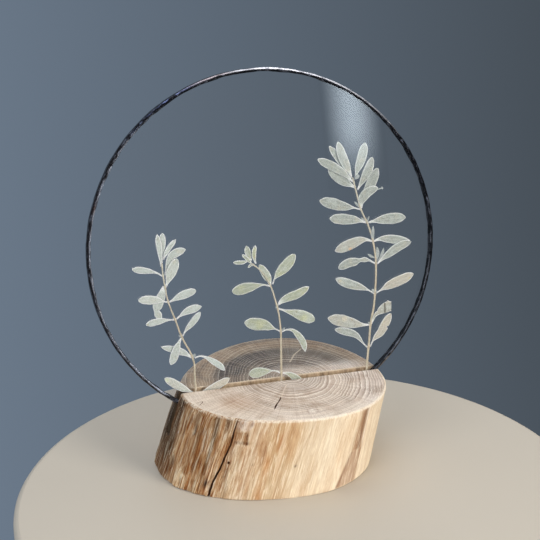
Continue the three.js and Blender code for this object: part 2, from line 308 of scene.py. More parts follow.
def side_wood():
    paint = Paint("debarked_wood", Roughness=0.72, Specular_IOR_Level=0.18)
    rough = paint.attribute("rough", "Fac")
    broad = paint.noise(upright(paint, 0.07), 300, 3, 0.6, 0.4)
    fibre = paint.noise(upright(paint, 0.045), 1100, 4, 0.62, 0.3)
    thread = paint.noise(upright(paint, 0.08), 2700, 3, 0.65, 0.3)
    mottle = paint.noise(upright(paint, 0.5), 110, 3, 0.6)
    color = paint.attribute("tint")
    for grain, low, high, amount, shade in (
        (broad, 0.38, 0.54, 0.6, (220, 184, 140)),
        (fibre, 0.36, 0.49, 0.8, (194, 152, 108)),
        (thread, 0.36, 0.47, 0.6, (190, 150, 112)),
        (mottle, 0.36, 0.55, 0.4, (224, 202, 172)),
    ):
        dark = paint.times(paint.ramp(grain, (low, amount), (high, 0.0)), rough)
        color = paint.mix(dark, color, shade, "MULTIPLY")
    color = paint.over(color, fibre, (0.53, 0.0), (0.64, 0.5), (250, 236, 208))
    paint.drive("Base Color", color)
    paint.drive("Roughness", paint.spread(broad, 0.4, 0.6, 0.62, 0.82))
    height = paint.plus(fibre, paint.times(broad, 0.9))
    height = paint.plus(height, paint.times(thread, 0.5))
    paint.bump(paint.times(height, rough), 0.0010, 0.9)
    return paint.material


def segment_mask(paint, flat, start, end, width, fade):
    """1 on a line between two points of the sawn face, 0 further than width from it."""
    a = np.array([start[0], start[1]]) * MM
    b = np.array([end[0], end[1]]) * MM
    along = b - a
    length = float(np.hypot(*along))
    offset = paint.vector("SUBTRACT", flat, (a[0], a[1], 0.0))
    reach = paint.vector("DOT_PRODUCT", offset, (*(along / length), 0.0), out=1)
    near = paint.math("MAXIMUM", paint.math("MINIMUM", reach, length), 0.0)
    foot = paint.vector("SCALE", (float(along[0] / length), float(along[1] / length), 0.0))
    paint.plug(near, foot.node.inputs["Scale"])
    gap = paint.vector("LENGTH", paint.vector("SUBTRACT", offset, foot), out=1)
    return paint.spread(gap, width * MM, (width + fade) * MM, 1.0, 0.0)


def end_grain():
    paint = Paint("sawn_end_grain", Roughness=0.7, Specular_IOR_Level=0.3)
    flat = upright(paint, 0.0)
    from_pith = paint.vector("SUBTRACT", flat, (PITH[0] * MM, PITH[1] * MM, 0.0))
    from_pith = paint.vector("MULTIPLY", from_pith, (1.0, RING_SQUASH, 0.0))
    sway = paint.noise(flat, 26, 2, 0.5)
    ripple = paint.noise(flat, 230, 2, 0.5)
    radius = paint.vector("LENGTH", from_pith, out=1)
    radius = paint.plus(radius, paint.times(sway, 0.010))
    radius = paint.plus(radius, paint.times(ripple, 0.0013))
    # The rings stand further apart in some years than in others.
    swing = paint.times(paint.math("SINE", paint.times(radius, 330)), 0.6)
    year = paint.plus(paint.times(radius, 500), swing)
    share = paint.math("FRACT", year)
    line = paint.ramp(share, (0.0, 0.2), (0.05, 1.0), (0.13, 1.0), (0.24, 0.22), (0.60, 0.08),
                      (0.90, 0.0), (1.0, 0.2))
    strength = paint.noise(paint.join(radius, radius, radius), 420, 1)
    patch = paint.noise(flat, 85, 3, 0.6)
    rays = paint.noise(paint.vector("NORMALIZE", from_pith), 40, 3, 0.7)
    fine = paint.noise(flat, 1700, 2, 0.6)
    ringed = paint.attribute("ringed", "Fac")

    tint = paint.attribute("tint")
    years = paint.over(tint, strength, (0.40, 0.65), (0.60, 0.20), (184, 168, 156), "MULTIPLY")
    late = paint.ramp(share, (0.45, 0.0), (0.85, 0.5), (1.0, 0.5))
    years = paint.mix(late, years, (196, 182, 170), "MULTIPLY")
    years = paint.mix(paint.times(line, paint.spread(patch, 0.35, 0.6, 0.5, 1.0)),
                      years, paint.mix(0.7, tint, (255, 246, 232)))
    color = paint.mix(ringed, tint, years)
    color = paint.over(color, rays, (0.36, 0.45), (0.5, 0.0), (212, 196, 184), "MULTIPLY")
    color = paint.over(color, rays, (0.54, 0.0), (0.66, 0.22), (246, 232, 214))
    color = paint.over(color, patch, (0.38, 0.45), (0.52, 0.0), (218, 202, 186), "MULTIPLY")
    for start, end, width, fade, amount, paler in SCRATCHES:
        mask = segment_mask(paint, flat, start, end, width, fade)
        color = paint.mix(paint.times(mask, amount), color, paler)
    color = paint.over(color, fine, (0.38, 0.5), (0.5, 0.0), (200, 180, 158), "MULTIPLY")
    paint.drive("Base Color", color)
    paint.drive("Roughness", paint.spread(patch, 0.35, 0.65, 0.6, 0.8))
    height = paint.plus(paint.times(line, ringed), paint.times(fine, 0.8))
    paint.bump(paint.plus(height, rays), 0.00025, 0.8)
    return paint.material


def slot_wood():
    paint = Paint("sawn_slot_wall", Roughness=0.75, Specular_IOR_Level=0.25)
    x, y, z = paint.split(paint.place())
    along = paint.join(x, paint.times(y, 0.2), paint.times(z, 0.12))
    grain = paint.noise(along, 420, 3, 0.65)
    fine = paint.noise(paint.join(x, y, paint.times(z, 0.1)), 1500, 2, 0.6)
    color = paint.ramp(grain, (0.34, (116, 95, 71)), (0.46, (167, 143, 113)),
                       (0.66, (201, 178, 147)))
    color = paint.over(color, fine, (0.3, 0.45), (0.55, 0.0), (160, 130, 98), "MULTIPLY")
    color = paint.mix(paint.spread(z, 0.0440, 0.0449, 0.0, 0.8), color, (226, 212, 190))
    # The walls are darkened towards the slot's left end: painted shade.
    painted_shade_left_end = paint.spread(x, -0.044, -0.037, 0.85, 0.0)
    paint.drive("Base Color", paint.mix(painted_shade_left_end, color, (52, 40, 30)))
    paint.bump(paint.plus(grain, fine), 0.0003, 0.7)
    return paint.material


def crack_wood():
    paint = Paint("dark_crack_wood", Roughness=0.9, Specular_IOR_Level=0.1)
    grain = paint.noise(upright(paint, 0.06), 800, 3, 0.6)
    paint.drive("Base Color", paint.ramp(grain, (0.3, (66, 36, 22)), (0.7, (124, 80, 52))))
    paint.bump(grain, 0.0003, 0.6)
    return paint.material


def solder():
    paint = Paint("patinated_solder", Metallic=0.6, Specular_IOR_Level=0.35)
    place = paint.place()
    blotch = paint.noise(place, 330, 3, 0.6, 0.6)
    fine = paint.noise(place, 1300, 3, 0.6)
    tint = paint.attribute("tint")
    color = paint.over(tint, fine, (0.38, 0.6), (0.5, 0.0), (132, 132, 138), "MULTIPLY")
    # Small pale specks: painted glints.
    color = paint.over(color, fine, (0.60, 0.0), (0.68, 0.22), (150, 154, 166))
    paint.drive("Base Color", color)
    paint.drive("Roughness", paint.spread(fine, 0.35, 0.65, 0.22, 0.42))
    paint.bump(paint.plus(blotch, paint.times(fine, 0.4)), 0.0004, 0.8)
    return paint.material


def clear_glass():
    paint = Paint("clear_glass", Base_Color=(254, 253, 252), IOR=1.5, Transmission_Weight=1.0)
    smear = paint.noise(paint.place(), 24, 4, 0.6)
    paint.drive("Roughness", paint.spread(smear, 0.5, 0.8, 0.0, 0.02))
    return paint.material


def pressed_leaf():
    paint = Paint("pressed_leaf", Roughness=0.82, Specular_IOR_Level=0.25, Sheen_Weight=0.12)
    place = paint.place()
    felt = paint.noise(place, 1900, 4, 0.75)
    patch = paint.noise(place, 420, 3, 0.6)
    tint = paint.attribute("tint")
    color = paint.over(tint, felt, (0.36, 0.75), (0.52, 0.0), (172, 178, 164), "MULTIPLY")
    color = paint.over(color, felt, (0.54, 0.0), (0.68, 0.4), (180, 184, 181))
    color = paint.over(color, patch, (0.5, 0.0), (0.75, 0.2), (170, 174, 170))
    paint.drive("Base Color", color)
    paint.drive("Roughness", paint.spread(patch, 0.3, 0.7, 0.74, 0.9))
    paint.bump(paint.plus(felt, paint.attribute("relief", "Fac")), 0.00006, 0.9)
    return paint.material


def pressed_stem():
    paint = Paint("pressed_stem", Roughness=0.75, Specular_IOR_Level=0.3)
    x, y, z = paint.split(paint.place())
    fibre = paint.noise(paint.join(x, y, paint.times(z, 0.07)), 3400, 3, 0.6)
    blotch = paint.noise(paint.place(), 260, 2, 0.6)
    tint = paint.attribute("tint")
    color = paint.over(tint, fibre, (0.34, 0.7), (0.6, 0.0), (178, 166, 146), "MULTIPLY")
    color = paint.over(color, blotch, (0.55, 0.0), (0.75, 0.4), (160, 164, 140))
    paint.drive("Base Color", color)
    paint.bump(fibre, 0.00012, 0.8)
    return paint.material


# Marks on the sawn top: from, to, half width, soft edge, strength and colour, lean taken out.
TOP_SHIFT = LOG_LEAN * LOG_HEIGHT
SCRATCHES = [
    ((12.3 - TOP_SHIFT, -8.6), (5.2 - TOP_SHIFT, -22.8), 0.05, 0.45, 0.55, (246, 228, 204)),
    ((33.7 - TOP_SHIFT, 36.2), (28.0 - TOP_SHIFT, 30.0), 0.15, 0.5, 0.9, (216, 202, 180)),
    ((28.0 - TOP_SHIFT, 30.0), (22.7 - TOP_SHIFT, 20.8), 0.15, 0.5, 0.9, (216, 202, 180)),
    ((-41.5 - TOP_SHIFT, -17.2), (-38.0 - TOP_SHIFT, -16.0), 0.05, 0.4, 0.6, (150, 118, 92)),
]

# ------------------------------------------------------------------------- log


def cut(obj, sections, material):
    """Takes the body through these rings of points out of the object. The faces that it
    leaves have the material."""
    cutter = prism(sections, material)
    modifier = obj.modifiers.new("cut", "BOOLEAN")
    modifier.operation = "DIFFERENCE"
    modifier.solver = "EXACT"
    modifier.material_mode = "TRANSFER"
    modifier.object = cutter
    bpy.context.view_layer.update()
    whole = obj.evaluated_get(bpy.context.evaluated_depsgraph_get())
    result = bpy.data.meshes.new_from_object(whole)
    obj.modifiers.clear()
    obj.data = result
    bpy.data.objects.remove(cutter)


def prism(sections, material):
    """A closed body through rings of points, all with the same number of them."""
    sections = np.asarray(sections, float)
    rows, columns = sections.shape[:2]
    faces = grid_faces(rows, columns, close_columns=True)
    faces.append(tuple(range(columns))[::-1])
    faces.append(tuple((rows - 1) * columns + j for j in range(columns)))
    made = mesh_object("cutter", sections.reshape(-1, 3), faces, material, smooth_faces=False)
    work = bmesh.new()
    work.from_mesh(made.data)
    bmesh.ops.recalc_face_normals(work, faces=work.faces)
    work.to_mesh(made.data)
    work.free()
    return made


def log_radius(z):
    return LOG_BOTTOM_RADIUS + (LOG_TOP_RADIUS - LOG_BOTTOM_RADIUS) * z / LOG_HEIGHT


def lobe(angle):
    return sum(c * np.cos(n * angle) + s * np.sin(n * angle) for n, c, s in LOG_LOBES)


def torn_share(degrees):
    """1 where bark was torn off roughly, at the left, and 0 on the calm right."""
    return smooth(150, 190, degrees) * (1 - smooth(224, 244, degrees))


def torn_fibres(turn, height):
    """Thin raised splinters, and the pits between them, where bark was torn off."""
    sway = noise(turn * 40, height * 2, 15, wrap=40)
    crest = noise(turn * 130 + 0.5 * sway, height * 2.1 + sway, 14, wrap=130)
    crest = smooth(0.24, 0.0, np.abs(crest)) * smooth(-0.5, 0.2, sway)
    pits = smooth(0.1, 0.75, noise(turn * 150, height * 3.2 + sway, 16, wrap=150))
    return crest * (1 - 0.6 * pits), pits


def side_relief(angle, z):
    """How far the debarked side stands out from its smooth shape."""
    turn = angle / (2 * math.pi) % 1
    height = z / LOG_HEIGHT
    degrees = full_degrees(angle)
    torn = torn_share(degrees)
    out = 0.40 * noise(turn * 22, height * 1.2, 11, wrap=22)
    out += (0.06 + 0.18 * torn) * noise(turn * 95, height * 1.8, 12, wrap=95)
    out += (0.03 + 0.10 * torn) * noise(turn * 210, height * 3.5, 13, wrap=210)
    crest, pits = torn_fibres(turn, height)
    out += torn * (0.60 * crest - 0.45 * pits)
    # Ragged strands that stand off near the foot, left of the middle.
    out += 0.5 * crest * bump_at(degrees, 247, 6) * smooth(16, 3, z)
    # A grown-over knot beside the crack, and the hollow below it.
    knot = bump_at(degrees, 234, 3.6) * bump_at(z, 43, 4.5)
    out += -0.6 * bump_at(degrees, 234.5, 3.0) * bump_at(z, 35, 3.0)
    return out * (1 - 0.95 * smooth(41.6, 43.8, z)) + 0.8 * knot


def log_mesh(side, ends, slot, crack):
    turns, levels, spokes = 540, 96, 34
    angle = np.arange(turns) / turns * 2 * math.pi
    chamfer = [(0.0, 1.1), (0.25, 0.5), (0.65, 0.15), (1.3, 0.0)]
    bottom = [(0.0, 0.9), (0.3, 0.35), (0.9, 0.0)]
    profile = bottom + [(z, 0.0) for z in np.linspace(1.6, LOG_HEIGHT - 2.4, levels)]
    profile += [(LOG_HEIGHT - z, inset) for z, inset in reversed(chamfer)]
    rings = []
    for z, inset in profile:
        worn = 1 - 0.6 * min(1, inset)
        reach = log_radius(z) + lobe(angle) - inset + worn * side_relief(angle, z + 0 * angle)
        reach -= 0.20 * inset * noise(angle / (2 * math.pi) * 60, z, 21, wrap=60)
        rings.append(np.stack([reach * np.cos(angle) + LOG_LEAN * z, reach * np.sin(angle),
                               np.full(turns, z)], -1))
    rim = rings[-1]
    middle = np.array([LOG_LEAN * LOG_HEIGHT, 0.0, LOG_HEIGHT])
    for k in range(1, spokes):
        share = 1 - k / spokes
        rings.append(middle + (rim - middle) * share)
    points = np.concatenate([*rings, [middle]])
    rows = len(rings)
    faces = grid_faces(rows, turns, close_columns=True)
    last = rows * turns
    faces += [(last - turns + j, last - turns + (j + 1) % turns, last) for j in range(turns)]
    faces.append(tuple(range(turns))[::-1])
    made = mesh_object("log_wood", points, faces, side, ends, slot, crack)
    sides_end = (len(profile) - 1) * turns
    index = np.zeros(len(faces), np.int32)
    index[sides_end:] = 1
    made.data.polygons.foreach_set("material_index", index)
    return made


def slot_sections():
    half, top = 200.0, -60.0  # past the log on both sides and above
    section = [(-half, SLOT_FLOOR), (half, SLOT_FLOOR), (half, top), (-half, top)]
    return [[on_disc(u, v, w)[0] for u, v in section]
            for w in (SLOT_BACK, SLOT_BACK + SLOT_WIDTH)]


def crack_degrees(z):
    """Where the drying crack runs down the side."""
    wander = 0.16 * np.sin(z * 0.42 + 1) + 0.06 * np.sin(z * 1.3)
    return CRACK_FOOT + 3.6 * smooth(2, 32, z) + wander


def crack_sections():
    """The drying crack: a wedge with a slightly wandering line down the side. It closes just
    below the sawn top."""
    sections = []
    for z in np.linspace(-3, LOG_HEIGHT + 3, 52):
        turn = math.radians(float(crack_degrees(z)))
        width = 1.25 - 0.45 * z / LOG_HEIGHT + 0.08 * math.sin(z * 0.57)
        inner = 44.0 + 11.0 * float(smooth(36, 45, z))
        out = np.array([math.cos(turn), math.sin(turn)])
        across = np.array([-out[1], out[0]])
        centre = np.array([LOG_LEAN * z, 0.0])
        ring = []
        profile = [(inner, 0.05), (inner * 0.4 + 35.0, width * 0.34), (60.0, width / 2),
                   (68.0, width)]
        for reach, half in profile:
            ring.append([*(centre + out * reach + across * half), z])
        for reach, half in reversed(profile):
            ring.append([*(centre + out * reach - across * half), z])
        sections.append(ring)
    return sections


def check_sections(start, end, width, depth, bends):
    """A short drying check in the sawn top, widest in the middle."""
    start, end = np.array(start, float), np.array(end, float)
    along = end - start
    across = np.array([-along[1], along[0]]) / np.hypot(*along)
    steps = 14
    sections = []
    for i in range(steps + 1):
        t = i / steps
        half = width / 2 * (math.sin(math.pi * (0.04 + 0.92 * t)) ** 0.7)
        half *= 1 + 0.35 * math.sin(9 * t + 1)
        centre = start + along * t + across * bends * math.sin(7 * t)
        ring = []
        for side, z in ((-1, 0.6), (1, 0.6), (0.12, -depth), (-0.12, -depth)):
            ring.append([*(centre + across * half * side), LOG_HEIGHT + z])
        sections.append(ring)
    return sections


def hole_sections(degrees, z, radius, depth):
    """A small round insect hole in the side."""
    turn = math.radians(degrees)
    out = np.array([math.cos(turn), math.sin(turn), 0.0])
    across = np.array([-out[1], out[0], 0.0])
    centre = np.array([LOG_LEAN * z, 0.0, z])
    sections = []
    for reach, scale in ((LOG_BOTTOM_RADIUS + 4, 1.1), (LOG_BOTTOM_RADIUS - 2, 1.0),
                         (LOG_BOTTOM_RADIUS - depth, 0.6)):
        ring = []
        for k in range(12):
            a = k * math.pi / 6
            around = across * math.cos(a) + np.array([0, 0, 1.15]) * math.sin(a)
            ring.append(centre + out * reach + radius * scale * around)
        sections.append(ring)
    return sections


# Dark streaks where the bark was torn off: degrees round the log, the levels where they start
# and end, width and strength.
TORN_STREAKS = [
    (199.7, 28, 44, 1.0, 0.8), (209.5, 20, 35, 1.0, 0.75), (211.8, 11, 22, 0.9, 0.7),
    (206, 4, 14, 1.2, 0.7), (192, 18, 44, 1.8, 0.6), (217, 26, 42, 0.7, 0.45),
    (203.5, 14, 30, 0.7, 0.5), (213.8, 24, 40, 0.6, 0.5), (213.3, 14, 24, 0.8, 0.6),
    (198.5, 2, 14, 0.8, 0.5),
]
TORN_STREAK_COLOR = (92, 62, 40)
# Orange and brown streaks, each with its colour.
BROWN_STREAKS = [
    (251.3, 0, 26, 2.2, 0.75, (200, 134, 70)), (222.0, 0, 20, 1.5, 0.65, (196, 128, 64)),
    (248.0, 21, 32, 1.0, 0.85, (142, 84, 46)), (255.8, 29, 39, 1.6, 0.65, (182, 118, 66)),
    (258.5, 10, 30, 1.3, 0.40, (204, 148, 90)), (244.5, 26, 44, 2.6, 0.50, (176, 128, 82)),
    (244.0, 2, 22, 1.3, 0.45, (198, 140, 82)), (231.0, 8, 25, 0.9, 0.45, (170, 116, 70)),
    (275.2, 0, 9, 1.6, 0.35, (206, 150, 96)), (292.4, 14, 25, 1.5, 0.32, (222, 168, 112)),
    (263.0, 24, 42, 1.3, 0.35, (196, 150, 104)), (239.5, 8, 30, 1.0, 0.35, (188, 138, 90)),
]
# Spots on the side, most of them by the crack: degrees, level, width, height, strength, colour.
SIDE_SPOTS = [
    (221.6, 7.3, 2.4, 5.0, 0.45, (146, 102, 66)), (221.7, 7.3, 1.1, 2.3, 0.95, (62, 54, 52)),
    (230.6, 15.8, 0.7, 2.4, 0.75, (112, 78, 52)), (230.9, 20.4, 1.6, 1.6, 0.45, (150, 106, 70)),
    (229.9, 12.4, 0.4, 0.7, 0.7, (84, 60, 46)), (194.6, 27.8, 0.4, 0.8, 0.9, (240, 240, 238)),
    (244.0, 20.6, 0.5, 0.7, 0.5, (140, 104, 76)),
]


def streaks(place, marks, seed, fade, grain_share, grain_rise):
    """Coats for streaks which wander a little on their way down the side."""
    turn, height, degrees, z = place
    grain = noise(turn * 250, height * grain_rise, seed + 1, wrap=250)
    grain = grain_share + (1 - grain_share) * grain
    coats = []
    for at, low, high, spread, amount, color in marks:
        wander = at + noise(height * 5, at, seed)
        span = smooth(low - fade, low + 3, z) * (1 - smooth(high - fade - 1, high + fade - 1, z))
        coats.append((color, amount * span * grain * bump_at(degrees, wander, spread)))
    return coats


def right_streak(place, quick):
    """Coats for the brown streak on the right, the grey patch at its foot and the pale line
    beside them."""
    _, height, degrees, z = place
    span = smooth(19.6, 21.4, z) * (1 - smooth(43.2, 44.8, z))
    middle = 305.3 + 0.5 * noise(height * 4, 3, 38)
    streak = span * bump_at(degrees, middle, 2.5 + 1.2 * smooth(42, 24, z))
    left_side, right_side = 295.4 + 0.27 * z, 309.4 + 0.02 * z
    patch = (smooth(0.3, 1.8, z) * (1 - smooth(19.6, 21.2, z))
             * smooth(-0.6, 0.6, degrees - left_side) * smooth(0.6, -0.6, degrees - right_side))
    sides = bump_at(degrees, left_side + 1.0, 0.9) + bump_at(degrees, right_side - 0.7, 0.6)
    return [
        ((148, 102, 68), 0.88 * streak * (0.85 + 0.25 * quick)),
        ((108, 70, 46), 0.6 * (span * bump_at(degrees, middle + 1.3, 1.2))),
        ((178, 146, 122), 0.85 * patch * (0.85 + 0.2 * quick)),
        ((146, 108, 80), 0.5 * patch * sides),
        ((252, 242, 228), 0.8 * (bump_at(degrees, 309.2, 0.55) * smooth(20, 27, z))),
    ]


def side_knot(place, quick, fine):
    """Where the knot is, and coats for it, its rings and the brown bark left below it."""
    turn, height, degrees, z = place
    away = np.hypot(degrees - 234.0, z - 43.3) + 0.5 * noise(turn * 200, height * 9, 39, wrap=200)
    knot = smooth(5.4, 3.9, away)
    swirl = (0.5 + 0.5 * np.sin(away * 2.4 + 2.2 * quick + 0.8)) ** 2
    shift = degrees - 0.3 * (34 - z)
    below = (smooth(229.6, 230.4, shift) * (1 - smooth(237.2, 238.4, shift))
             * smooth(30.6, 31.8, z) * (1 - smooth(37.2, 38.4, z)))
    rim = below * smooth(1.4, 0.6, np.abs(z - 31.8)) + below * smooth(0.8, 0.3, np.abs(shift - 237))
    return knot, [
        ((226, 208, 190), 0.9 * knot),
        ((164, 122, 90), 0.7 * knot * swirl * smooth(-0.6, 0.4, fine)),
        ((120, 78, 50), 0.75 * bump_at(degrees, 237.5, 0.9) * bump_at(z, 43, 1.5)),
        ((166, 122, 80), 0.75 * below),
        ((112, 72, 44), 0.6 * rim),
    ]


def side_tint(angle, z):
    """Colour of the debarked side, from pale sapwood to the dark torn left, with a painted shadow
    at its far end.
    """
    turn = angle / (2 * math.pi) % 1
    height = z / LOG_HEIGHT
    degrees = full_degrees(angle)
    place = turn, height, degrees, z
    slow = noise(turn * 26, height * 1.3, 31, wrap=26)
    quick = noise(turn * 120, height * 1.5, 32, wrap=120)
    fine = noise(turn * 250, height * 3.0, 33, wrap=250)
    brown = smooth(286, 252, degrees) * smooth(70, 110, degrees)
    left = smooth(242, 216, degrees) * smooth(120, 160, degrees)
    crest, pits = torn_fibres(turn, height)
    foot = bump_at(degrees, 248, 6) * smooth(20, 4, z)
    far = smooth(200, 190, degrees) * smooth(135, 175, degrees)
    # Painted shadow on the far left strip, below the rim's end.
    painted_shadow_strip = smooth(196, 189, degrees) * smooth(160, 176, degrees) * smooth(4, 20, z)
    grey = bump_at(degrees, 216, 6) * smooth(-0.3, 0.6, quick)
    line = bump_at(degrees, 264 + 0.22 * z, 0.45) * smooth(17, 22, z)
    knot, knot_coats = side_knot(place, quick, fine)
    edge = smooth(LOG_HEIGHT - 1.4, LOG_HEIGHT - 0.4, z) + 0.7 * smooth(0.9, 0.4, z)
    torn_marks = [(*mark, TORN_STREAK_COLOR) for mark in TORN_STREAKS]
    return coat(
        plain((234, 216, 188), len(z)),
        ((208, 181, 144), 0.9 * brown),
        ((206, 164, 116), (0.20 + 0.34 * brown) * smooth(-0.1, 0.8, slow + 0.35 * quick)),
        ((248, 232, 204), 0.5 * smooth(0.15, 0.8, quick + 0.3 * fine)),
        ((176, 132, 88), (0.10 + 0.32 * brown) * smooth(0.3, 0.95, -quick + 0.4 * fine)),
        # Paler to the right of the crack: partly the wood's own cream, partly painted light where
        # the key light falls off.
        ((250, 238, 216), 0.32 * bump_at(degrees, 240, 7)),
        ((190, 160, 122), 0.16 * bump_at(degrees, 259, 8)),
        ((200, 178, 146), 0.20 * bump_at(degrees, 279, 9)),
        # The left is browner, with bright torn edges. Its far end, below the rim's end, is painted
        # dark: painted shadow.
        ((204, 166, 124), 0.8 * left),
        ((150, 112, 74), 0.6 * left * smooth(12, 34, z) * smooth(-0.3, 0.6, slow + 0.5 * quick)),
        ((252, 228, 190), 0.8 * foot * crest),
        ((168, 118, 74), 0.5 * foot * pits),
        ((92, 60, 36), left * pits * (0.62 + 0.3 * smooth(10, 30, z))),
        ((254, 232, 194), left * crest * (0.95 - 0.5 * smooth(14, 32, z))),
        *streaks(place, torn_marks, 36, 3, 0.6, 5),
        ((120, 84, 50), 0.75 * far),
        ((46, 33, 22), 0.9 * painted_shadow_strip * (0.8 + 0.4 * quick)),
        # Grey-green weathering down the middle left, then the orange and brown streaks.
        ((164, 146, 114), 0.35 * grey),
        *streaks(place, BROWN_STREAKS, 34, 4, 0.62, 4),
        # A thin brown line down the middle, from a small knot hole at its foot.
        ((164, 120, 84), 0.45 * line),
        ((92, 70, 56), 0.85 * bump_at(degrees, 268.4, 0.6) * bump_at(z, 19, 0.8)),
        *right_streak(place, quick),
        *knot_coats,
        # Red-brown lips of the crack, and the spots.
        ((132, 84, 54), 0.6 * bump_at(degrees, crack_degrees(z), 1.0)),
        *((color, amount * bump_at(degrees, at, wide) * bump_at(z, level, tall))
          for at, level, wide, tall, amount, color in SIDE_SPOTS),
        # The sawn edges are worn pale.
        ((244, 232, 214), 0.8 * edge * (1 - 0.7 * knot)),
    )


def end_tint(x, y):
    """Colour of the sawn faces. x has the log's lean taken out."""
    dx, dy = x - PITH[0], y - PITH[1]
    radius, heading = np.hypot(dx, dy), np.arctan2(dy, dx)
    outer = radius / LOG_TOP_RADIUS
    cloud = noise(x / 9 + 40, y / 9 + 40, 41)
    haze = noise(x / 22 + 40, y / 22 + 40, 42)
    band = noise(radius / 3.1 + 0.6 * haze, heading * 1.2 + 30, 43)
    swirl = np.hypot((x - 4.5) * 0.8, y + 43.9) + 0.4 * noise(x / 2 + 40, y / 2 + 40, 44)
    # The half in front of the slot: cream, browner at the left and paler at the right.
    front = coat(
        plain((239, 223, 205), len(x)),
        ((218, 200, 185), 0.5 * smooth(0.0, 0.8, band)),
        ((194, 170, 146), 0.85 * smooth(-12, -36, x) * smooth(-1.0, 0.1, cloud)),
        ((244, 232, 222), 0.7 * smooth(26, 46, x)),
        ((244, 229, 210), 0.7 * smooth(0.78, 0.95, outer) * smooth(44, 26, x)),
        ((214, 174, 142), 0.35 * bump_at(x, -34, 11) * bump_at(y, -24, 9)),
        ((214, 203, 192), 0.5 * smooth(26, 14, radius)),
        # A small grown-over knot near the front edge.
        ((250, 240, 226), 0.6 * smooth(2.6, 1.4, swirl)),
        ((176, 144, 120), 0.5 * smooth(0.9, 0.2, np.abs(swirl - 2.4))),
    )
    # The half behind it: grey-brown, stained in rings at the left, paler near the slot.
    pale = smooth(34, 12, radius) * smooth(30, 8, y) * smooth(-12, 8, x)
    pale = np.maximum(pale, smooth(20, 8, y) * smooth(8, 24, x))
    stain = smooth(26, -8, x) * smooth(0.20, 0.34, outer) * (1 - smooth(0.70, 0.86, outer))
    ring = bump_at(radius, 22, 2.2) + 0.8 * bump_at(radius, 29, 1.8)
    ring = ring + 0.7 * bump_at(radius, 37, 1.6)
    left_end = smooth(-34, -46, x) * smooth(-0.3, 0.5, noise(x / 2.5 + 40, y / 5 + 40, 46))
    back = coat(
        plain((140, 130, 116), len(x)),
        ((244, 236, 227), 0.84 * pale),
        ((196, 172, 141), 0.66 * smooth(0.66, 0.86, outer)),
        ((106, 98, 89), 0.66 * smooth(8, 24, y) * smooth(-0.3, 0.5, band) * smooth(52, 38, x)),
        ((72, 64, 60), 0.9 * stain * smooth(-0.8, 0.15, band)),
        ((104, 90, 78), 0.5 * ring * smooth(45, -10, x)),
        ((92, 84, 78), 0.45 * left_end),
    )
    tint = np.where((y > 1.0)[:, None], back, front)
    return coat(tint, ((160, 143, 126), 0.2 * smooth(0.1, 0.9, -cloud)))


def finish_log(log):
    """Colours the log's points by the place they have on it."""
    points = points_of(log)
    x = points[:, 0] - LOG_LEAN * points[:, 2]
    y, z = points[:, 1], points[:, 2]
    angle = np.arctan2(y, x)
    edge = log_radius(z) + lobe(angle)
    tint = side_tint(angle, z)
    top = (z > LOG_HEIGHT - 0.01) | (z < 0.01)
    tint[top] = end_tint(x[top], y[top])
    # The sapwood in front hardly shows its rings.
    reach = np.hypot(x - PITH[0], (y - PITH[1]) * RING_SQUASH)
    heading = np.degrees(np.arctan2(y - PITH[1], x - PITH[0]))
    heartwood = 34 + 22 * smooth(-75, -20, heading) + 4 * noise(heading / 25 + 20, 3, 45)
    behind = 0.95 - 0.45 * smooth(16, 40, reach)
    ringed = np.where(y > 1.0, behind, 1 - 0.7 * smooth(heartwood - 3, heartwood + 4, reach))
    set_floats(log, "ringed", ringed)
    pale = smooth(-2.4, -1.0, (np.hypot(x, y) - edge)[top]) * np.where(y[top] > 1, 0.35, 0.8)
    tint[top] = coat(tint[top], ((244, 232, 214), pale))
    set_colors(log, "tint", tint)
    degrees = full_degrees(angle)
    set_floats(log, "rough", 0.34 + 0.66 * torn_share(degrees)
               + 0.25 * smooth(268, 246, degrees) * smooth(70, 110, degrees))
    log.data.set_sharp_from_angle(angle=math.radians(38))


# ------------------------------------------------------------------------- rim


# Painted highlights and reflections on the rim, and one real rust-brown patch at the left:
# degrees and their spread, place across the rim and its width, strength and colour.
RIM_GLINTS_AND_RUST = [
    (121, 8, 0.26, 0.05, 0.9, (150, 166, 222)), (104, 7, 0.27, 0.05, 0.8, (206, 192, 194)),
    (133, 3, 0.24, 0.05, 0.5, (140, 156, 196)), (161.6, 1.6, 0.15, 0.08, 0.7, (92, 60, 40)),
    (313, 6, 0.22, 0.05, 0.7, (158, 148, 138)), (230, 6, 0.10, 0.06, 0.9, (224, 230, 246)),
    (218, 4, 0.10, 0.05, 0.5, (168, 174, 190)), (46, 6, 0.28, 0.08, 0.5, (190, 190, 196)),
]


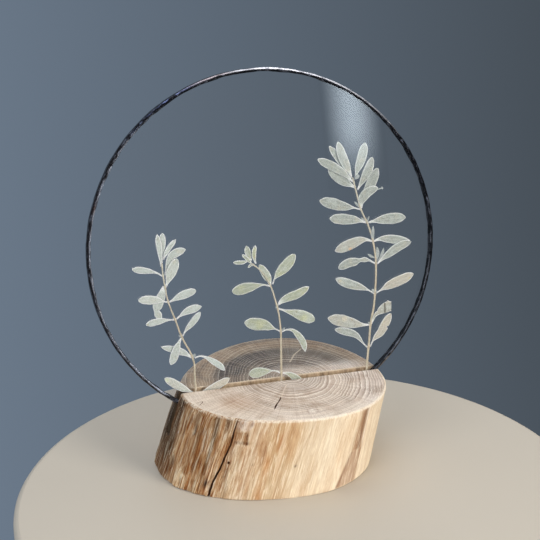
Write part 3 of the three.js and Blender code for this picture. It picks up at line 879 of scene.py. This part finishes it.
def solder_tint(degrees, across, lump):
    """Black patina, browner at the left, with painted light on it: a bright band along the top
    which is a painted reflection of the ceiling, a painted highlight on the front lip and painted
    glints in streaks. across runs from 0 at the front lip to 1 at the back lip."""
    turn = degrees / 360
    patchy = noise(turn * 110, across * 5, 56, wrap=110)
    fine = noise(turn * 250, across * 16, 57, wrap=250)
    left = smooth(125, 150, degrees) * (1 - smooth(237, 250, degrees))
    lip = bump_at(across, 0.09, 0.065) * smooth(-0.7, 0.1, fine) * smooth(120, 135, degrees)
    top = smooth(30, 50, degrees + 9 * patchy) * (1 - smooth(86, 102, degrees + 9 * patchy))
    band = smooth(0.195, 0.235, across + 0.012 * patchy) * (1 - smooth(0.42, 0.55, across))
    glint = 0.98 - 0.58 * smooth(-0.1, 0.55, fine + 0.5 * patchy)
    streak_breakup = smooth(-0.8, 0.1, patchy + fine)
    return coat(
        plain((24, 24, 28), len(turn)),
        ((40, 35, 36), 0.9 * left),
        ((122, 126, 138), 0.6 * smooth(0.40, 0.75, fine + 1.2 * lump)),
        # Painted highlight along the front inner lip, stronger at the left.
        ((206, 210, 222), (0.2 + 0.7 * left) * lip),
        # Painted reflection of the ceiling light: a bright band along the top of the rim.
        ((244, 243, 247), top * band * glint),
        # Streaks of painted highlights and reflections, and the one real rust-brown patch.
        *((color, amount * bump_at(degrees, at, spread) * bump_at(across, middle, wide) * streak_breakup)
          for at, spread, middle, wide, amount, color in RIM_GLINTS_AND_RUST),
    )


def rim_mesh(material):
    """The solder: a lumpy U section round the edge of the two panes."""
    outline = [(97.95, 2.16), (98.15, 2.38), (98.7, 2.46), (99.35, 2.34), (99.82, 1.86),
               (99.98, 1.1), (100.0, 0.35), (100.0, -0.35), (99.98, -1.1), (99.82, -1.86),
               (99.35, -2.34), (98.7, -2.46), (98.15, -2.38), (97.95, -2.16)]
    at = np.linspace(0, len(outline) - 1, 27)
    skin = curve_at(outline, at, (97.95, -2.0))
    slope = np.gradient(skin, axis=0)
    out = np.stack([-slope[:, 1], slope[:, 0]], -1)
    out /= np.linalg.norm(out, axis=1)[:, None]
    inner = np.array([(99.3, -2.16), (99.3, 2.16)])
    turns = 900
    turn = np.arange(turns) / turns
    angle = turn * 2 * math.pi
    rings, colors = [], []
    for k, (radius, depth) in enumerate(skin):
        round_it = k / (len(skin) - 1)
        grip = math.sin(math.pi * round_it) ** 0.5
        lump = 0.13 * noise(turn * 90, round_it * 2.2, 51, wrap=90)
        lump += 0.09 * noise(turn * 220, round_it * 4.5, 52, wrap=220)
        lump += 0.05 * noise(turn * 250, round_it * 9 + 5, 53, wrap=250)
        edge = 0.26 * noise(turn * 150, 3 + 40 * (round_it > 0.5), 54, wrap=150)
        lump = lump * grip + 0.04
        r = radius + out[k, 0] * lump + edge * (1 - grip)
        w = depth + out[k, 1] * lump
        rings.append(on_disc(r * np.cos(angle), r * np.sin(angle), w))
        colors.append(solder_tint(np.degrees(angle), np.full(turns, round_it), lump))
    for radius, depth in inner:
        rings.append(on_disc(radius * np.cos(angle), radius * np.sin(angle), depth + 0 * angle))
        colors.append(plain((30, 30, 34), turns))
    made = mesh_object("rim_solder", np.concatenate(rings),
                       grid_faces(len(rings), turns, True, True), material)
    set_colors(made, "tint", np.concatenate(colors))
    return made


# ---------------------------------------------------------------------- plants


def strip_outline(name):
    """The outline of a flat CAD strip in the disc's plane, in order, from its own mesh."""
    work = bmesh.new()
    work.from_mesh(nodes[name].data)
    bmesh.ops.remove_doubles(work, verts=work.verts, dist=1e-6)
    facing = Vector(DISC_OUT)
    front = {f for f in work.faces if f.normal.dot(facing) > 0.9}
    follows = {}
    for face in front:
        for loop in face.loops:
            if any(f not in front for f in loop.edge.link_faces):
                follows[loop.vert] = loop.link_loop_next.vert
    ring = [next(iter(follows))]
    while follows[ring[-1]] is not ring[0]:
        ring.append(follows[ring[-1]])
    points = np.array([vert.co for vert in ring], float) / MM - DISC_CENTRE
    work.free()
    return np.stack([points[:, 0], points @ DISC_UP], -1)


def midline(outline, is_stem, stem_line=None):
    """A strip's middle points and half widths from base to tip."""
    count = len(outline)
    after = np.roll(outline, -1, axis=0)
    lengths = np.linalg.norm(after - outline, axis=1)
    middles = (after + outline) / 2
    if is_stem:
        ends = np.argsort(lengths)[:2]
        base = ends[np.argmin(middles[ends, 1])]
    else:
        away = [np.linalg.norm(stem_line - m, axis=1).min() for m in middles]
        base = np.argmin(np.array(away) + 100 * (np.abs(lengths - 0.9) > 0.02))
    ordered = np.roll(outline, -(base + 1), axis=0)
    pairs = (count + 1) // 2
    one, other = ordered[:pairs], ordered[::-1][:pairs]
    return (one + other) / 2, np.linalg.norm(one - other, axis=1) / 2


class Blade:
    """Points and faces of one thin blade between two edge lines: a leaf or a bud."""

    def __init__(self, one, other, w, thickness):
        rows, columns = w.shape
        side = np.linspace(1, -1, columns)
        share = (1 - side)[None, :, None] / 2
        self.flat = one[:, None, :] * (1 - share) + other[:, None, :] * share
        half = np.linalg.norm(one - other, axis=1) / 2
        self.side = np.broadcast_to(side, (rows, columns))
        self.edge = half[:, None] * (1 - np.abs(self.side))
        rise = thickness * (1 - np.abs(side) ** 2.2) ** 0.5
        front = w + rise[None, :] / 2
        back = w - rise[None, :] / 2
        self.w = (np.clip(front, -GAP_ROOM, GAP_ROOM), np.clip(back, -GAP_ROOM, GAP_ROOM))
        self.rows, self.columns = rows, columns

    def geometry(self):
        """Rows of the front and back, which share the margin's points."""
        flat = self.flat.reshape(-1, 2)
        front = on_disc(flat[:, 0], flat[:, 1], self.w[0].reshape(-1))
        back = on_disc(flat[:, 0], flat[:, 1], self.w[1].reshape(-1))
        count = len(flat)
        index = np.arange(count).reshape(self.rows, self.columns)
        behind = index + count
        behind[:, 0], behind[:, -1] = index[:, 0], index[:, -1]
        faces = []
        for i in range(self.rows - 1):
            for j in range(self.columns - 1):
                faces.append((index[i, j], index[i + 1, j], index[i + 1, j + 1], index[i, j + 1]))
                faces.append((behind[i, j], behind[i, j + 1], behind[i + 1, j + 1],
                              behind[i + 1, j]))
        for i in (0, self.rows - 1):
            for j in range(self.columns - 1):
                quad = [index[i, j], index[i, j + 1], behind[i, j + 1], behind[i, j]]
                corners = list(dict.fromkeys(int(k) for k in (quad if i == 0 else quad[::-1])))
                if len(corners) > 2:
                    faces.append(tuple(corners))
        used = np.unique(np.concatenate([np.array(f) for f in faces]))
        place = np.full(2 * count, -1)
        place[used] = np.arange(len(used))
        faces = [tuple(int(place[k]) for k in f) for f in faces]
        return np.concatenate([front, back])[used], faces, used % count


def normals_of(line):
    """Unit vectors across a line, to its left."""
    along = np.gradient(line, axis=0)
    along /= np.linalg.norm(along, axis=1)[:, None]
    return np.stack([-along[:, 1], along[:, 0]], -1)


def edges_of(line, half, left=1.0, right=1.0):
    """The two edge lines of a strip along a line."""
    across = normals_of(line)
    return line + across * (half * left)[:, None], line - across * (half * right)[:, None]


# Leaves whose outline isn't the plain one: places along it where it is narrower or wider.
WAISTS = {
    "leaf_left_09": [(0.72, 0.07, -0.40)],
    "leaf_right_07": [(0.42, 0.07, -0.40), (0.27, 0.06, 0.35)],
    "leaf_left_03": [(0.50, 0.06, 0.12)],
    "leaf_left_16": [(0.80, 0.30, 0.22)],
    "leaf_left_17": [(0.80, 0.30, 0.12)],
}
# A short tear in one edge: how far along the leaf, its reach and its depth.
TEARS = {"leaf_right_02": (0.66, 0.018, 0.55), "leaf_left_12": (0.93, 0.03, 0.3)}
# The stub of a side shoot that stands out of a leaf: base, tip and width.
STUBS = {"leaf_right_14": ((65.2, 26.2), (70.9, 27.7), 0.9)}
# The torn leaf ends square: its upper and its lower edge.
TORN_EDGES = {
    "leaf_right_04": (
        [(60.6, -50.4), (61.6, -47.6), (62.6, -45.2), (63.7, -43.7), (64.7, -43.1), (65.2, -41.8),
         (67.0, -40.2), (68.6, -39.0), (69.3, -38.9), (70.6, -38.2), (71.3, -37.6), (72.2, -38.3),
         (73.3, -38.6)],
        [(61.5, -50.6), (62.3, -48.8), (63.0, -47.5), (63.8, -46.5), (65.0, -45.9), (66.2, -45.6),
         (67.6, -45.4), (69.0, -45.2), (69.9, -45.1), (71.0, -44.8), (72.0, -44.5), (72.7, -44.3),
         (73.2, -44.5)],
    ),
}
# Dark or rusty spots: place, radius, colour and strength.
SPOTS = {
    "leaf_right_03": [(49.4, -47.0, 0.45, (120, 96, 70), 0.8),
                      (45.0, -46.0, 1.6, (172, 160, 134), 0.4)],
    "leaf_middle_06": [(16.3, -38.4, 0.45, (96, 92, 66), 0.8),
                       (21.0, -42.5, 1.8, (158, 160, 118), 0.4)],
    "leaf_right_09": [(49.9, -5.6, 0.8, (170, 132, 92), 0.7)],
    "leaf_right_06": [(84.7, -26.0, 0.5, (150, 142, 104), 0.8)],
    "leaf_right_02": [(68.4, -50.2, 0.5, (150, 142, 116), 0.7),
                      (67.7, -51.6, 0.4, (150, 142, 116), 0.7)],
    "leaf_right_05": [(43.0, -23.4, 0.9, (160, 150, 124), 0.5),
                      (45.3, -24.6, 0.5, (140, 134, 110), 0.5)],
    "leaf_right_07": [(46.6, -15.2, 0.5, (160, 158, 140), 0.5)],
    "leaf_middle_03": [(-6.0, -43.6, 2.2, (148, 150, 120), 0.4)],
    "leaf_middle_12": [(-9.0, -4.5, 0.5, (160, 160, 130), 0.4)],
    "leaf_middle_13": [(-6.3, -4.6, 0.5, (140, 120, 96), 0.6)],
    "leaf_left_01": [(-60.4, -69.0, 1.2, (156, 164, 134), 0.5)],
    "leaf_left_08": [(-68.9, -36.3, 0.6, (120, 116, 92), 0.6)],
    "leaf_right_04": [(69.3, -42.0 + k * 0.8, 0.5, (64, 58, 46), 0.9) for k in range(-3, 4)],
}
LEAF_COLORS = {"left": (144, 150, 146), "middle": (126, 131, 117), "right": (120, 125, 121)}
BEIGE_LEAVES = {"leaf_right_02": 0.75, "leaf_right_04": 0.35, "leaf_right_06": 0.7,
                "leaf_right_03": 0.35, "leaf_left_02": 0.8, "leaf_right_09": 0.35,
                "leaf_left_01": 0.4, "leaf_left_13": 0.1, "leaf_left_10": 0.15}
BEIGE = (150, 142, 130)
MARGIN = (214, 219, 215)
# The colours of leaves and stems are mixed at a low level and raised together, up to a limit.
PLANT_GAIN = np.array([1.95, 1.93, 1.91])
PLANT_LIMIT = 0.86
LEAF_THICKNESS = 0.17
BUD_THICKNESS = 0.22
STEM_HALF_DEPTH = 0.30


def raised(tint):
    return np.minimum(tint * PLANT_GAIN, PLANT_LIMIT)


def vein_wave(t, side):
    return np.sin((t * 15 - np.abs(side) * 2.4) * 2 * math.pi)


def leaf_tint(name, flat, edge, side, t):
    sprig = name.split("_")[1]
    lighter, cloudier = np.random.default_rng(seed_of(name)).uniform(-1, 1, 2)
    u, v = flat[:, 0], flat[:, 1]
    cloud = noise(u / 2.6 + 60, v / 2.6 + 60, 61)
    fleck = noise(u / 0.9 + 90, v / 0.9 + 90, 62)
    yellowish = (150, 150, 114) if sprig == "middle" else (152, 147, 132)
    pale = smooth(0.60, 0.16, edge) * (0.75 + 0.25 * fleck)
    pale = np.maximum(pale, 0.7 * smooth(0.24, 0.02, t))
    return raised(coat(
        plain(LEAF_COLORS[sprig], len(t)) * (1 + 0.06 * lighter),
        (BEIGE, np.full(len(t), BEIGE_LEAVES.get(name, 0.0))),
        ((154, 159, 155), 0.40 * smooth(0.0, 0.9, cloud + 0.3 * cloudier)),
        (yellowish, 0.40 * smooth(0.1, 0.9, -cloud + 0.3 * fleck)),
        ((118, 123, 115), 0.30 * smooth(0.2, 0.9, fleck)),
        # The midrib is a faint pale line, the side veins fainter still.
        ((172, 172, 162), 0.40 * bump_at(side, 0.0, 0.09) * (1 - 0.6 * t)),
        ((164, 168, 160), 0.18 * smooth(0.6, 1.0, vein_wave(t, side))),
        # A thin pale margin, and a paler stalk.
        (MARGIN, 0.8 * pale),
        *((color, strength * smooth(radius * 1.5, radius * 0.5, np.hypot(u - at_u, v - at_v)))
          for at_u, at_v, radius, color, strength in SPOTS.get(name, [])),
    ))


def leaf(name, stem_line, material):
    middle, half = midline(strip_outline(name), False, stem_line)
    steps = len(middle) - 1
    q = np.concatenate([np.linspace(0, steps - 0.25, 44), [steps - 0.12, steps - 0.03]])
    t = np.sin(math.pi / 2 * q / steps)
    line = curve_at(middle, q, middle[-2])
    width = np.maximum(curve_at(half, q, -half[-2]), 0.02)
    for at, spread, amount in WAISTS.get(name, []):
        width = width * (1 + amount * bump_at(t, at, spread))
    seed = seed_of(name)
    width = width * (1 - (0.20 + 0.10 * math.sin(seed)) * smooth(0.86, 1.0, t))
    left = 1 + 0.05 * noise(q * 0.9, 0.5, seed) + 0.02 * noise(q * 3, 7.5, seed)
    right = 1 + 0.05 * noise(q * 0.9, 20.5, seed) + 0.02 * noise(q * 3, 27.5, seed)
    if name in TEARS:
        at, spread, depth = TEARS[name]
        right = right * (1 - depth * bump_at(t, at, spread))
    centre = (points_of(nodes[name]) - DISC_CENTRE) @ DISC_OUT
    layer = (centre.min() + centre.max()) / 2
    columns = 15
    side = np.linspace(1, -1, columns)
    w = layer * smooth(-0.6, 2.6, q)[:, None] + 0 * side[None, :]
    roll = noise(q[:, None] * 0.45, side[None, :] * 1.3 + 50, seed + 1)
    w = w + 0.035 * roll * smooth(0.5, 3, q)[:, None]
    w = w - 0.03 * bump_at(side, 0, 0.13)[None, :] * np.sign(layer) * (1 - t)[:, None]
    one, other = edges_of(line, width, left, right)
    if name in TORN_EDGES:
        place = np.linspace(0, 12, len(q))
        one, other = (curve_at(e, place, e[-1]) for e in TORN_EDGES[name])
    blade = Blade(one, other, w, LEAF_THICKNESS)
    points, faces, source = blade.geometry()
    along, across = np.repeat(t, columns), blade.side.reshape(-1)
    tint = leaf_tint(name, blade.flat.reshape(-1, 2), blade.edge.reshape(-1), across, along)
    tint = tint[source]
    relief = (0.5 * vein_wave(along, across) + 1.5 * bump_at(across, 0.0, 0.1))[source]
    if name in STUBS:
        more, more_faces, more_tint = bud(*STUBS[name], layer, seed, knob=1.5)
        faces += [tuple(len(points) + i for i in f) for f in more_faces]
        points, tint = np.concatenate([points, more]), np.concatenate([tint, more_tint])
        relief = np.concatenate([relief, np.zeros(len(more))])
    made = mesh_object("pressed_" + name, points, faces, material)
    set_colors(made, "tint", tint)
    set_floats(made, "relief", relief)
    return made


# Buds and the smallest leaves, which stand on the stems: base, tip and width.
BUDS = {
    "left": [((-44.4, -58.2), (-43.6, -55.7), 1.3), ((-50.6, -45.5), (-52.2, -44.3), 1.0),
             ((-44.2, -57.6), (-44.9, -55.9), 0.8), ((-53.6, -34.9), (-55.0, -34.0), 0.7)],
    "middle": [((7.0, -48.8), (9.1, -46.7), 1.2), ((6.9, -48.9), (7.9, -48.1), 0.8),
               ((5.2, -34.4), (4.2, -34.9), 0.9), ((5.6, -34.2), (6.2, -32.6), 0.9)],
    "right": [((59.9, -50.8), (58.9, -49.1), 1.1), ((63.4, -32.6), (61.9, -30.2), 1.9),
              ((64.8, -12.4), (60.3, -9.5), 1.5), ((65.5, -14.2), (66.0, -5.8), 2.2),
              ((66.0, -14.4), (70.1, -6.8), 1.9), ((64.4, -1.6), (64.2, 6.6), 1.9),
              ((64.0, -1.6), (62.8, 2.6), 1.2), ((60.0, 9.4), (57.1, 11.9), 1.0),
              ((61.0, 8.8), (62.1, 12.2), 1.0), ((56.5, 17.6), (53.6, 21.4), 1.3),
              ((54.2, 33.8), (57.2, 36.4), 2.4), ((63.6, -33.4), (64.6, -31.0), 0.9)],
}
BUD_COLOR = (174, 180, 178)  # not raised as the leaves are, and greyer than in the photo
STEM_COLOR = (154, 147, 131)


def bud(base, tip, width, lift, seed, knob=0.0):
    q = np.linspace(0, 1, 16 if not knob else 28)
    base, tip = np.array(base), np.array(tip)
    along = tip - base
    across = np.array([-along[1], along[0]]) * 0.08 * np.random.default_rng(seed).uniform(-1, 1)
    line = base + along * q[:, None] + across * np.sin(math.pi * q)[:, None]
    half = width / 2 * np.maximum(np.sin(math.pi * q ** 1.25) ** 0.8, 0.25 * (1 - q) + 0.02)
    if knob:
        half = width / 2 * (0.8 + knob * bump_at(q, 0.93, 0.06)) * smooth(1.03, 0.94, q)
    w = lift * smooth(0, 0.5, q)[:, None] + np.zeros((1, 9))
    points, faces, source = Blade(*edges_of(line, half), w, BUD_THICKNESS).geometry()
    return points, faces, plain(BUD_COLOR, len(source))


def stem(sprig, leaf_bases, stalk_material, leaf_material):
    name = "stem_" + sprig
    middle, half = midline(strip_outline(name), True)
    steps = len(middle) - 1
    rows = 26 * steps // 2
    q = np.linspace(0, steps, rows)
    line = curve_at(middle, q, 2 * middle[-1] - middle[-2])
    width = curve_at(half, q, half[-1])
    joints = np.array([np.exp(-(np.linalg.norm(line - b, axis=1) / 1.3) ** 2) for b in leaf_bases])
    swell = joints.max(axis=0)
    seed = seed_of(name)
    width = width * (1 + 0.35 * swell + 0.07 * noise(q * 3, 0.5, seed))
    width = np.minimum(width, half.max() * 1.5)
    width[-3:] *= np.array([0.9, 0.7, 0.35])
    across = normals_of(line)
    around = 14
    turn = np.arange(around) / around * 2 * math.pi
    rings = []
    for angle in turn:
        ridge = 1 + 0.05 * math.sin(5 * angle)
        flat = line + across * (width * math.cos(angle) * ridge)[:, None]
        depth = STEM_HALF_DEPTH * math.sin(angle) * (0.85 + 0.3 * swell)
        rings.append(on_disc(flat[:, 0], flat[:, 1], np.clip(depth, -GAP_ROOM, GAP_ROOM)))
    points = np.stack(rings, 1).reshape(-1, 3)
    faces = [f[::-1] for f in grid_faces(rows, around, close_columns=True)]
    faces.append(tuple(range(around)))
    faces.append(tuple((rows - 1) * around + j for j in range(around))[::-1])
    blotch = noise(q * 2.2, 3.5, seed + 1)
    tint = coat(
        plain(STEM_COLOR, rows),
        ((152, 136, 114), 0.5 * smooth(0, 0.9, blotch)),
        ((160, 160, 150), 0.7 * smooth(0.45, 1.0, q / steps)),
        ((140, 122, 96), 0.5 * swell * smooth(0.3, 0.9, -blotch)),
    )
    colors = [np.repeat(raised(tint), around, axis=0)]
    stalk_faces = len(faces)
    points = [points]
    for k, (base, tip, size) in enumerate(BUDS[sprig]):
        start = sum(len(p) for p in points)
        lift = 0.28 if k % 2 == 0 else 0.2
        bud_points, bud_faces, bud_tint = bud(base, tip, size, lift, seed + 10 + k)
        points.append(bud_points)
        colors.append(bud_tint)
        faces += [tuple(start + i for i in f) for f in bud_faces]
    made = mesh_object("pressed_" + name, np.concatenate(points), faces, stalk_material,
                       leaf_material)
    index = np.ones(len(faces), np.int32)
    index[:stalk_faces] = 0
    made.data.polygons.foreach_set("material_index", index)
    set_colors(made, "tint", np.concatenate(colors))
    set_floats(made, "relief", np.zeros(sum(len(p) for p in points)))
    return made


# -------------------------------------------------------------------- assembly


def settle(piece, slot, *replaced):
    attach(piece, "root")
    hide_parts(*replaced)


side, ends, slot_wall, crack = side_wood(), end_grain(), slot_wood(), crack_wood()
log = log_mesh(side, ends, slot_wall, crack)
cut(log, slot_sections(), slot_wall)
cut(log, crack_sections(), crack)
cut(log, check_sections((5.0, -22.8), (-2.8, -36.8), width=0.95, depth=4.0, bends=0.25), crack)
cut(log, check_sections((-40.4, -20.2), (-37.8, -16.2), width=0.55, depth=1.5, bends=0.2), crack)
cut(log, hole_sections(-129.4, z=20.4, radius=0.75, depth=7), crack)
finish_log(log)
settle(log, "log_wood", "log_base")

settle(rim_mesh(solder()), "dark_solder", "solder_rim")

glass = clear_glass()
for name in ("front_pane", "back_pane"):
    pane = nodes[name]
    pane.data.materials.clear()
    pane.data.materials.append(glass)
    pane.visible_shadow = False

leaf_material, stalk_material = pressed_leaf(), pressed_stem()
for sprig in ("left", "middle", "right"):
    stem_line, _ = midline(strip_outline("stem_" + sprig), True)
    fine_line = curve_at(stem_line, np.linspace(0, len(stem_line) - 1, 120), stem_line[-1])
    names = sorted(n for n in nodes if n.startswith("leaf_" + sprig))
    bases = [midline(strip_outline(n), False, fine_line)[0][0] for n in names]
    stalk = stem(sprig, bases, stalk_material, leaf_material)
    settle(stalk, "pressed_stem", "stem_" + sprig)
    for name in names:
        settle(leaf(name, fine_line, leaf_material), "pressed_leaf", name)

# ----------------------------------------------------------------------- stage

# In metres from here on. The floor is a round stand, as wide as the photo's stool.
STAND_RADIUS = 0.1572
STAND_DEPTH = 0.03
STAND_MIDDLE = (0.0092, -0.0535)
CAMERA_PLACE = (-0.1945, -0.7193, 0.4011)
CAMERA_HEADING, CAMERA_DIP, CAMERA_ROLL = -15.53, 21.17, -0.27  # degrees
CAMERA_LENS, CAMERA_SENSOR = 96.67, 36  # millimetres

floor_paint = Paint("floor", Roughness=0.6, Base_Color=(196, 186, 170))
bpy.ops.mesh.primitive_cylinder_add(vertices=256, radius=STAND_RADIUS, depth=STAND_DEPTH,
                                    location=(*STAND_MIDDLE, -STAND_DEPTH / 2))
floor = bpy.context.object
floor.name = "floor"
bevel = floor.modifiers.new("bevel", "BEVEL")
bevel.width, bevel.segments, bevel.limit_method = 0.003, 4, "ANGLE"
floor.data.shade_smooth()
floor.data.set_sharp_from_angle(angle=math.radians(40))
floor.data.materials.append(floor_paint.material)

scene = bpy.context.scene
scene.view_settings.view_transform = "Standard"
world = bpy.data.worlds.new("studio")
world.use_nodes = True
sky = Nodes(world.node_tree)
sideways = sky.split(sky.place("Generated"))[0]
fade = sky.ramp(sideways, (0.05, (107, 121, 137)), (0.45, (70, 78, 86)))
sky.plug(fade, sky.tree.nodes["Background"].inputs["Color"])
scene.world = world


def area_light(name, place, target, size, power, color, through=True):
    """through is False where the panes would mirror the light's hard edges. It then doesn't
    shine through them either."""
    data = bpy.data.lights.new(name, "AREA")
    data.size = size
    data.energy = power
    data.color = color
    light = bpy.data.objects.new(name, data)
    light.location = place
    light.rotation_euler = (Vector(target) - Vector(place)).to_track_quat("-Z", "Y").to_euler()
    light.visible_glossy = False
    light.visible_transmission = through
    scene.collection.objects.link(light)


area_light("key", (0.80, -0.98, 0.5), (0, 0, 0.05), 0.55, 16.5, (1.0, 0.97, 0.93),
           through=False)
# In low views from the front, this one shows through the panes as a white square.
area_light("back", (0.3, 1.1, 0.42), (0, 0, 0.1), 0.7, 3.8, (0.96, 0.98, 1.0))
area_light("top", (-0.1, 0.1, 1.3), (0, 0, 0.05), 0.9, 5.1, (0.96, 0.98, 1.0))
area_light("fill", (-0.80, -0.74, 0.44), (0, 0, 0.08), 0.7, 6.6, (0.98, 0.98, 1.0),
           through=False)


def glowing_panel(name, place, turn, half_width, half_height, strength, color, foot, head):
    """A soft bright panel which only shows as a reflection. It fades to all its sides."""
    paint = Paint(name)
    paint.tree.nodes.remove(paint.shader)
    x, y, _ = paint.split(paint.place())
    level = strength
    for value, low, high, to_low, to_high in ((paint.math("ABSOLUTE", x), 0.0, 1.0, 1.0, 0.0),
                                              (y, -1.0, foot, 0.0, 1.0), (y, head, 1.0, 1.0, 0.0)):
        fade = paint.spread(value, low, high, to_low, to_high, interpolation_type="SMOOTHSTEP")
        level = paint.times(fade, level)
    glow = paint.fed("ShaderNodeEmission", (color, level))
    paint.plug(glow, paint.tree.nodes["Material Output"].inputs["Surface"])
    bpy.ops.mesh.primitive_plane_add(size=2, location=place)
    panel = bpy.context.object
    panel.name = name
    panel.rotation_euler = Euler([math.radians(a) for a in turn])
    panel.scale = (half_width, half_height, 1)
    panel.data.materials.append(paint.material)
    panel.visible_camera = panel.visible_diffuse = panel.visible_transmission = False
    panel.visible_shadow = False


# A tall window in front and to the right, and a pale ceiling above and behind.
glowing_panel("window", (0.498, -1.3, 0.385), (90, 0, 0), 0.049, 0.2, 11.0, (212, 226, 236),
              -0.5, 0.7)
glowing_panel("ceiling", (0.25, 0.45, 1.15), (0, 0, 0), 1.1, 1.1, 3.7, (236, 238, 244), -0.5, 0.2)

camera_data = bpy.data.cameras.new("camera")
camera_data.lens = CAMERA_LENS
camera_data.sensor_width = CAMERA_SENSOR
camera = bpy.data.objects.new("camera", camera_data)
camera.location = CAMERA_PLACE
turn = Matrix.Rotation(math.radians(CAMERA_HEADING), 3, "Z")
tilt = Matrix.Rotation(math.radians(90 - CAMERA_DIP), 3, "X")
roll = Matrix.Rotation(math.radians(CAMERA_ROLL), 3, "Z")
camera.rotation_euler = (turn @ tilt @ roll).to_euler()
scene.collection.objects.link(camera)
scene.camera = camera

bpy.context.view_layer.update()
